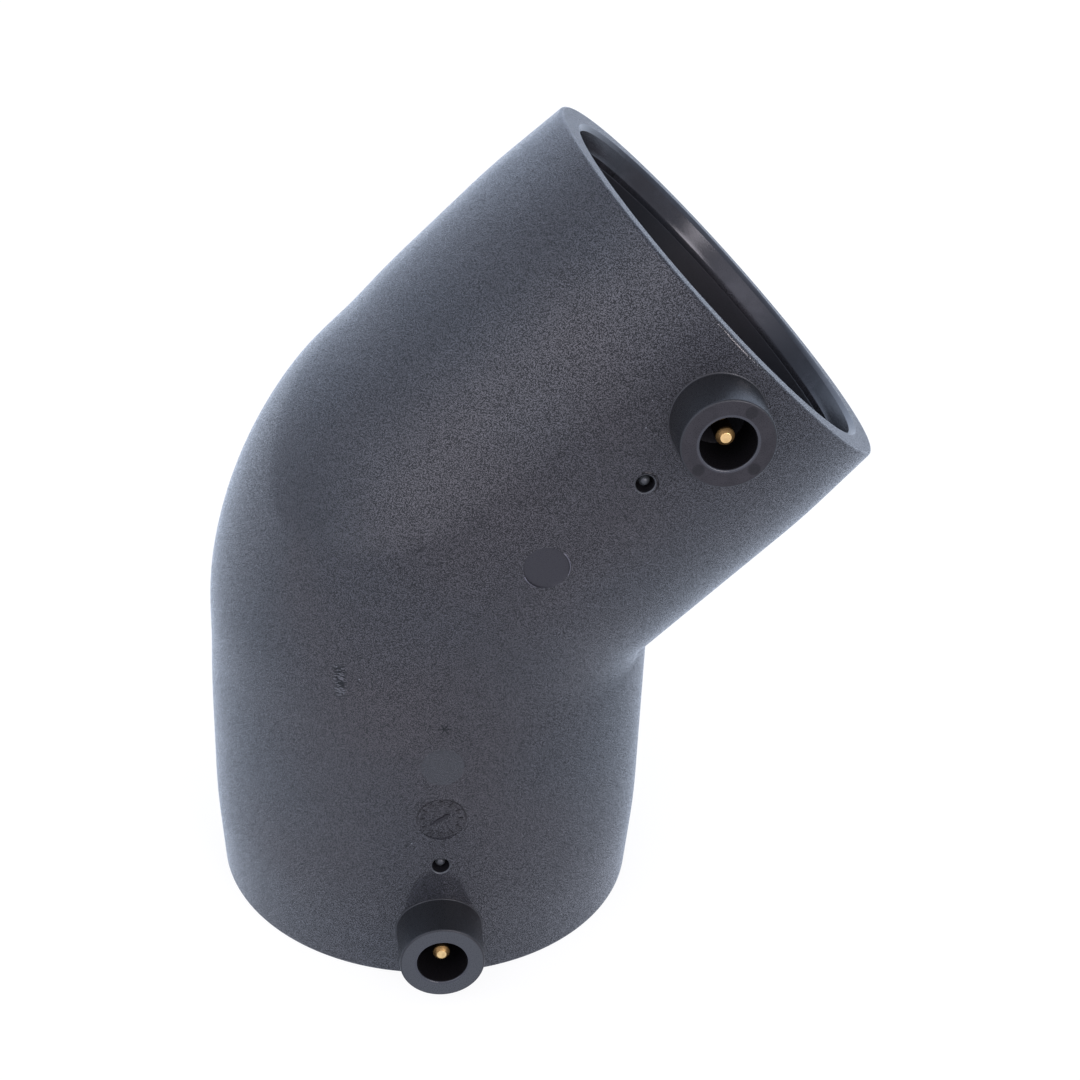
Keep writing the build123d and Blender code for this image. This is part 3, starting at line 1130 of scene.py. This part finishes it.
class ELBOW_OT_pins(bpy.types.Operator):
    """Build the two brass terminal pins"""

    bl_idname = "elbow.pins"
    bl_label = "Terminal pins"

    def execute(self, context):
        tone = tuple(context.scene.elbow_colours.brass)
        bright = brass("terminal_brass_tip", tone, 0.2, 0.38)
        # The side takes a rougher brass at about half the tip's tone: the darker tone is painted
        # shade down the well.
        shaded_side_brass = brass("terminal_brass_side", tinted(tone, 0.5, 0.45, 0.4), 0.4, 0.6)
        add_tarnish_and_painted_shade(shaded_side_brass)
        for side, carry in (("lower", Matrix()), ("upper", mitre_mirror())):
            add_piece(f"{side}_pin_turned", build_pin(carry), [bright, shaded_side_brass],
                      "terminal_brass", f"{side}_terminal_pin")
        return {"FINISHED"}


class ELBOW_OT_dial(bpy.types.Operator):
    """Add the date dial's plain ticks and arrow"""

    bl_idname = "elbow.dial"
    bl_label = "Date dial"

    def execute(self, context):
        # The ticks' dark smooth finish and the arrow's dark socket finish paint the shade of
        # engraved marks.
        smooth, painted_shade = (bpy.data.materials[f"polyethylene_{look}"] for look in ("smooth", "socket"))
        ticks = mesh_from_tree("dial_ticks", dial_marks_tree(smooth), {
            "Count": context.scene.elbow_sizes.dial_ticks, "Ring Radius": 4.5 * MM,
            "Bar Size": (1.2 * MM, 0.4 * MM, 0.4 * MM),
            "Place": (0, -flat_height(DIAL_RADIUS), DIAL_FROM_MOUTH)})
        add_piece("date_dial_ticks", ticks, [], "moulded_polyethylene")
        add_piece("date_dial_arrow", build_dial_arrow(), [painted_shade], "moulded_polyethylene")
        return {"FINISHED"}


class ELBOW_OT_wire(bpy.types.Operator):
    """Wind the round heating wire through the wall of both sockets"""

    bl_idname = "elbow.wire"
    bl_label = "Heating wire"

    def execute(self, context):
        sizes = context.scene.elbow_sizes
        drawn = metal("resistance_wire_drawn", tuple(context.scene.elbow_colours.wire), 0.35,
                      (2600.0, 3.0), (0.35, 0.7, 0.6), (0.28, 0.45))
        mesh = mesh_from_tree("heating_wire_round", heating_wire_tree(drawn), {
            "Wire Radius": sizes.wire_diameter / 2, "Coil Radius": COIL_RADIUS,
            "Turns": sizes.wire_turns, "Rise": COIL_END - COIL_START})
        if len(mesh.polygons) < 1000:
            raise RuntimeError("the heating wire's path came out empty")
        mesh.shade_smooth()
        add_piece("heating_wire_round", mesh, [], "resistance_wire", "heating_wire")
        return {"FINISHED"}


class ELBOW_OT_stage(bpy.types.Operator):
    """Add the white floor, the soft lights and the camera"""

    bl_idname = "elbow.stage"
    bl_label = "Stage"

    def execute(self, context):
        scene = context.scene
        scene.view_settings.view_transform = "Standard"
        bm = bmesh.new()
        bmesh.ops.create_grid(bm, x_segments=1, y_segments=1, size=6.0)
        floor = add_object("floor", mesh_of(bm, "floor"))
        floor.data.materials.append(white_surround_material("floor_white", 0.12))
        scene.world = studio_world()
        add_softbox("front_softbox", (0.43, -0.93, 0.4), (0.07, 0, 0.15), 0.4, 4.5,
                    (1.0, 0.92, 0.95))
        add_softbox("right_softbox", (0.75, -0.66, 0.36), (0.06, 0, 0.15), 0.24, 0.6,
                    (0.88, 0.95, 1.0))
        add_camera(scene)
        return {"FINISHED"}


class ELBOW_PT_panel(bpy.types.Panel):
    """Lists the steps that build the elbow."""

    bl_label = "Electrofusion Elbow"
    bl_idname = "ELBOW_PT_panel"
    bl_space_type = "VIEW_3D"
    bl_region_type = "UI"
    bl_category = "Elbow"

    def draw(self, context):
        layout = self.layout
        for group in (context.scene.elbow_sizes, context.scene.elbow_colours):
            for name in group.__annotations__:
                layout.prop(group, name)
        for step in STEPS:
            layout.operator(step.bl_idname)


STEPS = (ELBOW_OT_body, ELBOW_OT_dial, ELBOW_OT_pins, ELBOW_OT_wire, ELBOW_OT_stage)
CLASSES = (ElbowSizes, ElbowColours, *STEPS, ELBOW_PT_panel)


def register():
    for cls in CLASSES:
        bpy.utils.register_class(cls)
    bpy.types.Scene.elbow_sizes = bpy.props.PointerProperty(type=ElbowSizes)
    bpy.types.Scene.elbow_colours = bpy.props.PointerProperty(type=ElbowColours)


def unregister():
    del bpy.types.Scene.elbow_colours
    del bpy.types.Scene.elbow_sizes
    for cls in reversed(CLASSES):
        bpy.utils.unregister_class(cls)


def main():
    register()
    bpy.ops.elbow.body()
    bpy.ops.elbow.dial()
    bpy.ops.elbow.pins()
    bpy.ops.elbow.wire()
    bpy.ops.elbow.stage()


if __name__ == "__main__":
    main()
